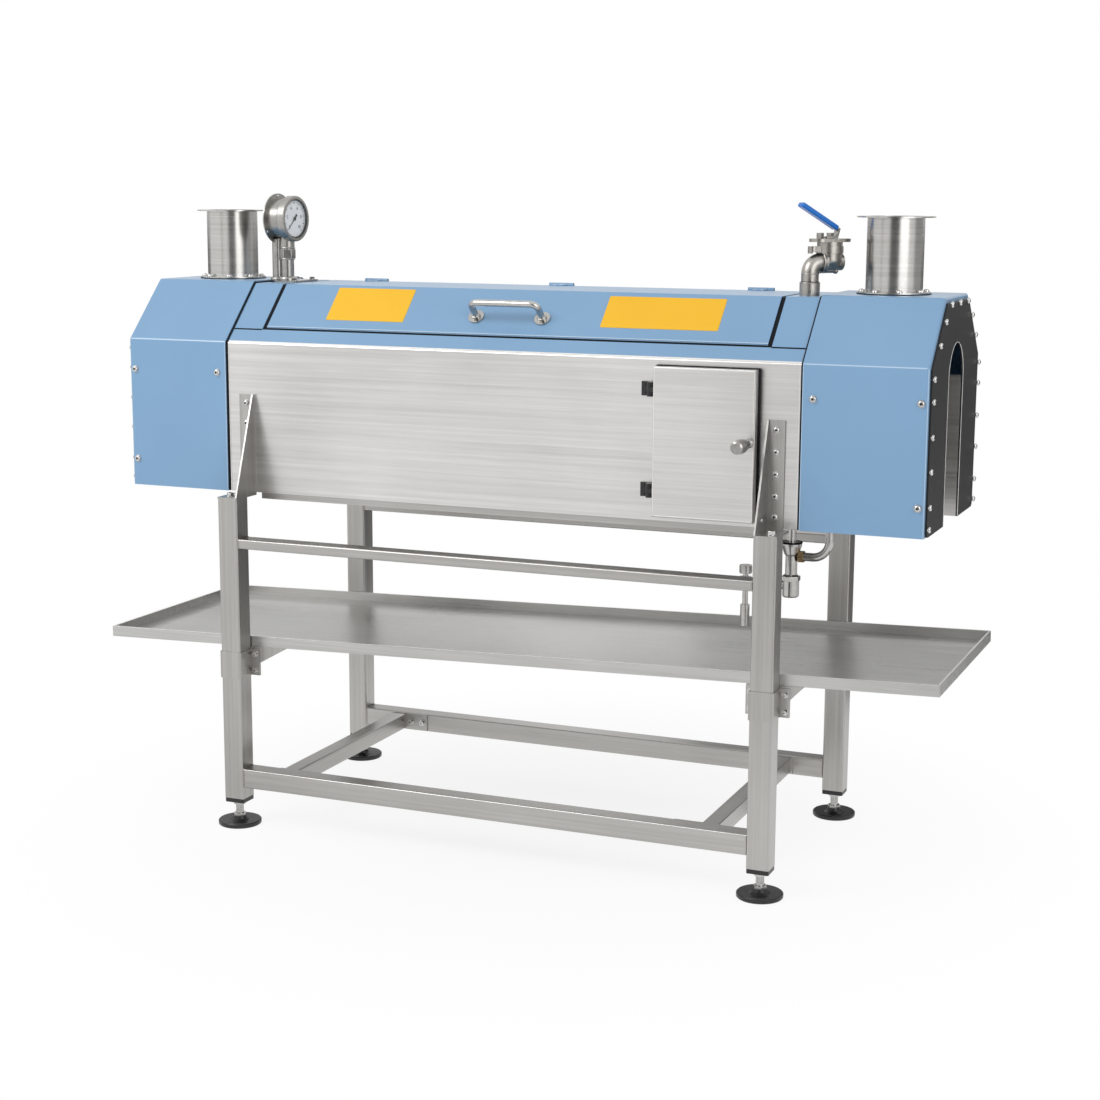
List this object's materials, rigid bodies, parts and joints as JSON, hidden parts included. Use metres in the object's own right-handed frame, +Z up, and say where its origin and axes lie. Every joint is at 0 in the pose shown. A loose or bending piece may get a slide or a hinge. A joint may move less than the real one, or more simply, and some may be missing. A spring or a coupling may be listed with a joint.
{
  "type": "steam shrink tunnel",
  "caption": "Long housing with an arched tunnel slot, hinged roof lid, side door, end stacks, gauge and steam valve, on a leg frame with a sloped drip tray.",
  "frame": {"origin": "on the floor under the middle of the machine", "axes": "+X along the tunnel towards the steam valve end, +Y away from the operator's side with the access door, +Z up"},
  "size_m": [1.984, 0.7179, 1.456],
  "materials": {
    "brushed_stainless": "grained stainless sheet and tube, satin",
    "polished_stainless": "turned or polished stainless, bright",
    "blue_paint": "light blue powder coat, satin",
    "dark_plate": "dark grey painted plate, matt",
    "black_plastic": "black moulded plastic",
    "black_rubber": "black sealing profile",
    "blue_grip": "blue dipped vinyl sleeve",
    "brass": "plain brass fitting"
  },
  "bodies": {
    "tunnel": {"front_panel": "brushed_stainless", "rear_panel": "brushed_stainless", "left_roof_band": "blue_paint", "right_roof_band": "blue_paint", "roof_front_strip": "blue_paint", "rear_roof_panel": "blue_paint", "lid_frame": "brushed_stainless", "lid_seal": "black_rubber", "lid_hinges": "polished_stainless", "left_hood": "blue_paint", "right_hood": "blue_paint", "left_end_plate": "dark_plate", "right_end_plate": "dark_plate", "bulkheads": "brushed_stainless", "front_liner": "brushed_stainless", "rear_liner": "brushed_stainless", "liner_arch": "brushed_stainless", "cavity_floors": "brushed_stainless", "bottom_channels": "brushed_stainless", "gusset_brackets": "brushed_stainless", "left_stack": "polished_stainless", "right_stack": "polished_stainless", "gauge_stand": "polished_stainless", "pressure_gauge": "polished_stainless", "steam_inlet": "polished_stainless", "steam_valve": "polished_stainless", "front_left_leg": "brushed_stainless", "front_right_leg": "brushed_stainless", "rear_left_leg": "brushed_stainless", "rear_right_leg": "brushed_stainless", "leg_caps": "black_plastic", "foot_spindles": "polished_stainless", "foot_pads": "black_plastic", "lower_rails": "brushed_stainless", "upper_rails": "brushed_stainless", "cross_members": "brushed_stainless", "drip_tray": "brushed_stainless", "tray_brackets": "brushed_stainless", "condensate_trap": "polished_stainless", "drain_valve": "polished_stainless", "bypass_tube": "polished_stainless", "bypass_nut": "brass", "door_hinges": "black_plastic"},
    "lid": {"lid": "blue_paint", "lid_handle": "polished_stainless", "lid_hinge_leaves": "polished_stainless"},
    "access_door": {"access_door": "brushed_stainless", "door_knob": "polished_stainless", "door_hinge_arms": "black_plastic"},
    "valve_lever": {"valve_lever": "brushed_stainless", "lever_grip": "blue_grip"}
  },
  "joints": [
    {"name": "lid_hinge", "type": "hinge", "parent": "tunnel", "child": "lid", "pos_m": [0, 0.12, 1.251], "axis": [-1, 0, 0], "range_deg": [0, 105]},
    {"name": "access_door_hinge", "type": "hinge", "parent": "tunnel", "child": "access_door", "pos_m": [0.357, -0.261, 0.9485], "axis": [0, 0, -1], "range_deg": [0, 110]},
    {"name": "valve_quarter_turn", "type": "hinge", "parent": "tunnel", "child": "valve_lever", "pos_m": [0.67053, -0.02247, 1.369], "axis": [0, 0, 1], "range_deg": [0, 90]}
  ]
}
